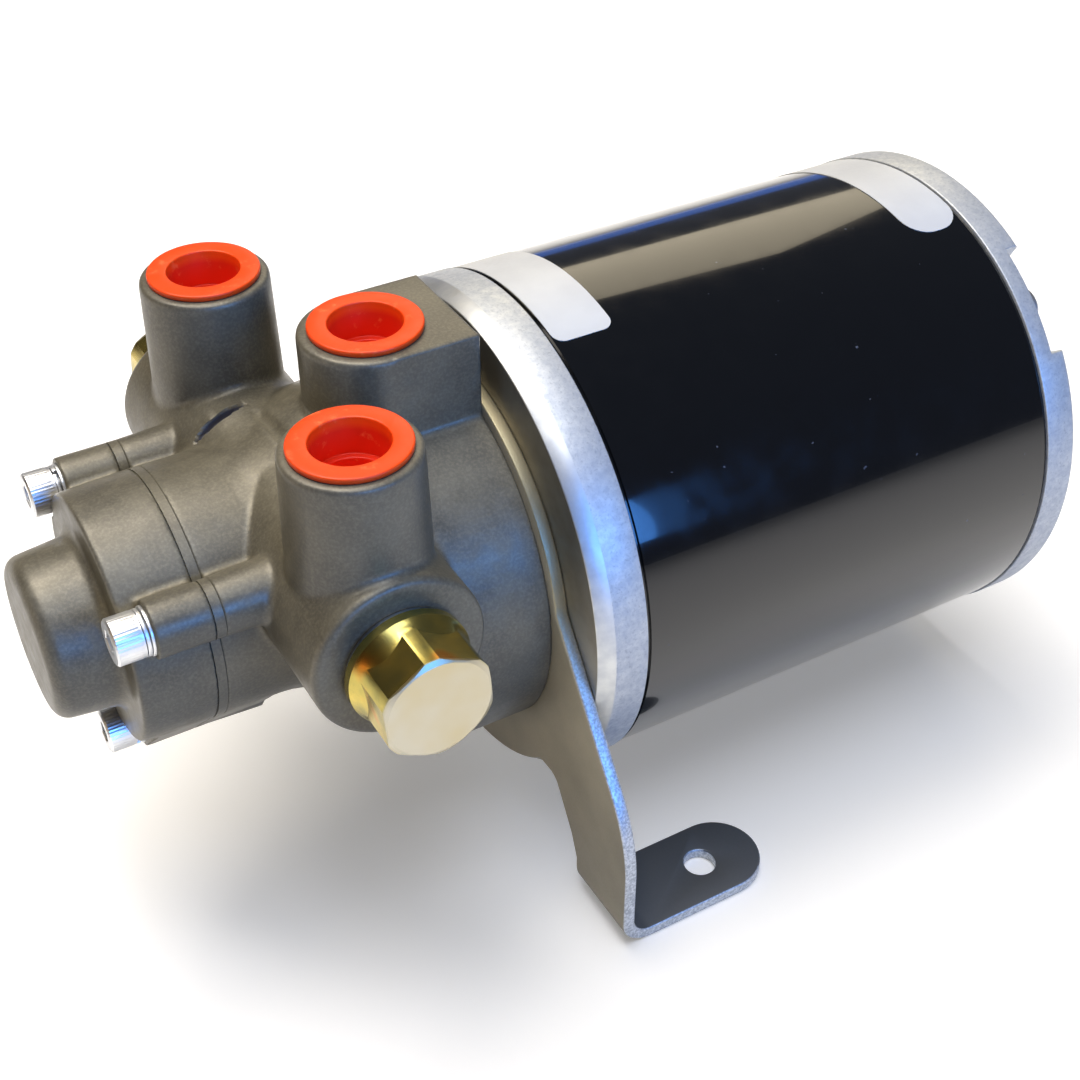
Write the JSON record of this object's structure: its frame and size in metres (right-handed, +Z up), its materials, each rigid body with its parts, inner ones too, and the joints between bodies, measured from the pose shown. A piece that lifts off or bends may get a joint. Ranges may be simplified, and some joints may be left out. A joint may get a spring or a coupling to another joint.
{
  "type": "reversible hydraulic pump set",
  "caption": "Reversible gear pump with a lock valve and capped ports, driven by a black tubular motor on a footed bracket.",
  "frame": {"origin": "midway between the two foot holes, on the underside of the feet", "axes": "+X along the shaft from the pump towards the rear of the motor, +Z up out of the ports, +Y to the left of +X; the motor axis is 59 mm above the origin"},
  "size_m": [0.2024, 0.1304, 0.1128],
  "materials": {
    "coated_casting": "warm dark grey coat over cast aluminium, satin",
    "bare_casting": "raw pressure-cast aluminium, mottled, machined at the rims",
    "black_enamel": "gloss black stoved enamel on rolled steel tube",
    "cap_red": "orange-red moulded polyethylene",
    "yellow_zinc": "yellow passivated zinc on turned steel",
    "bright_zinc": "bright zinc plate",
    "steel": "bare ground or rolled steel",
    "bearing_bronze": "sintered bronze",
    "copper": "copper, varnished where it is wound",
    "ferrite": "pressed ferrite",
    "carbon": "pressed copper graphite",
    "phenolic": "brown phenolic board",
    "nitrile": "black moulded rubber"
  },
  "bodies": {
    "housing": {"motor_tube": "black_enamel", "front_bell": "bare_casting", "rear_bell": "bare_casting", "field_magnets": "ferrite", "bearing_outer_races": "steel", "bearing_balls": "steel", "brush_plate": "phenolic", "brush_holders": "bearing_bronze", "brushes": "carbon", "brush_springs": "steel", "through_bolts": "bright_zinc", "lead_grommet": "nitrile", "mounting_bracket": "coated_casting", "flange_screws": "bright_zinc", "pump_body": "coated_casting", "port_plate": "coated_casting", "pump_cover": "coated_casting", "cover_screws": "bright_zinc", "spring_washers": "bright_zinc", "cover_seal": "nitrile", "body_bushes": "bearing_bronze", "cover_bushes": "bearing_bronze", "shaft_seal": "nitrile", "check_seats": "steel", "poppet_spring_near": "steel", "poppet_spring_far": "steel", "hex_plug_near": "yellow_zinc", "hex_plug_far": "yellow_zinc", "plug_seals": "steel"},
    "rotor": {"armature_core": "steel", "armature_windings": "copper", "commutator": "copper", "motor_shaft": "steel", "bearing_inner_races": "steel", "pump_shaft": "steel", "drive_gear": "steel", "drive_coupling": "steel"},
    "idler": {"idler_shaft": "steel", "idler_gear": "steel"},
    "shuttle": {"shuttle_spool": "steel"},
    "near_check": {"poppet_near": "bearing_bronze"},
    "far_check": {"poppet_far": "bearing_bronze"},
    "near_cap": {"port_cap_near": "cap_red"},
    "far_cap": {"port_cap_far": "cap_red"},
    "reservoir_cap": {"port_cap_reservoir": "cap_red"}
  },
  "joints": [
    {"name": "rotor_spin", "type": "hinge", "parent": "housing", "child": "rotor", "pos_m": [0, 0, 0.059], "axis": [1, 0, 0], "continuous": true},
    {"name": "idler_spin", "type": "hinge", "parent": "housing", "child": "idler", "pos_m": [0, 0, 0.077], "axis": [1, 0, 0], "continuous": true},
    {"name": "shuttle_slide", "type": "slide", "parent": "housing", "child": "shuttle", "axis": [0, 1, 0], "range_m": [-0.0022, 0.0022]},
    {"name": "near_check_lift", "type": "slide", "parent": "housing", "child": "near_check", "axis": [0, -1, 0], "range_m": [0, 0.003], "stiffness_N_per_m": 600, "springref_m": -0.003, "deforming": ["poppet_spring_near"]},
    {"name": "far_check_lift", "type": "slide", "parent": "housing", "child": "far_check", "axis": [0, 1, 0], "range_m": [0, 0.003], "stiffness_N_per_m": 600, "springref_m": -0.003, "deforming": ["poppet_spring_far"]},
    {"name": "near_cap_lift", "type": "slide", "parent": "housing", "child": "near_cap", "axis": [0, 0, 1], "range_m": [0, 0.03]},
    {"name": "far_cap_lift", "type": "slide", "parent": "housing", "child": "far_cap", "axis": [0, 0, 1], "range_m": [0, 0.03]},
    {"name": "reservoir_cap_lift", "type": "slide", "parent": "housing", "child": "reservoir_cap", "axis": [0, 0, 1], "range_m": [0, 0.03]}
  ],
  "couplings": [
    {"joint": "idler_spin", "follows": "rotor_spin", "ratio": -1}
  ]
}
